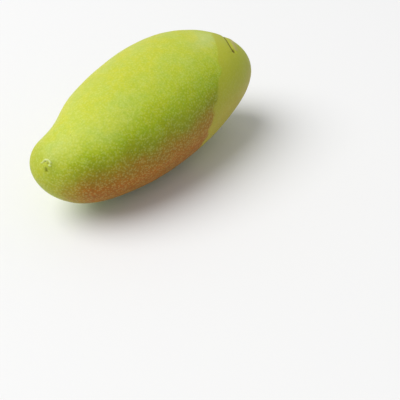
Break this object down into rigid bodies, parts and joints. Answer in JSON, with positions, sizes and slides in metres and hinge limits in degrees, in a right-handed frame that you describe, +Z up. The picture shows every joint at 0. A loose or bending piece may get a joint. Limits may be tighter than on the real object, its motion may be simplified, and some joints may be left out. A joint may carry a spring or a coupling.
{
  "type": "mango",
  "caption": "Whole green mango with a beaked tip and a shallow hollow beside it, lying on its side on a small flat spot.",
  "frame": {"origin": "middle of the fruit's box, on the level that it rests on", "axes": "+Z up, +X from the beaked tip to the stem end, +Y away from the side that the blush is on"},
  "size_m": [0.1574, 0.0738, 0.0725],
  "materials": {
    "skin": "waxy green fruit skin with a fine pale speckle, a thin powdery bloom and an orange blush along one side"
  },
  "bodies": {
    "root": {"mango": "skin"}
  },
  "joints": []
}
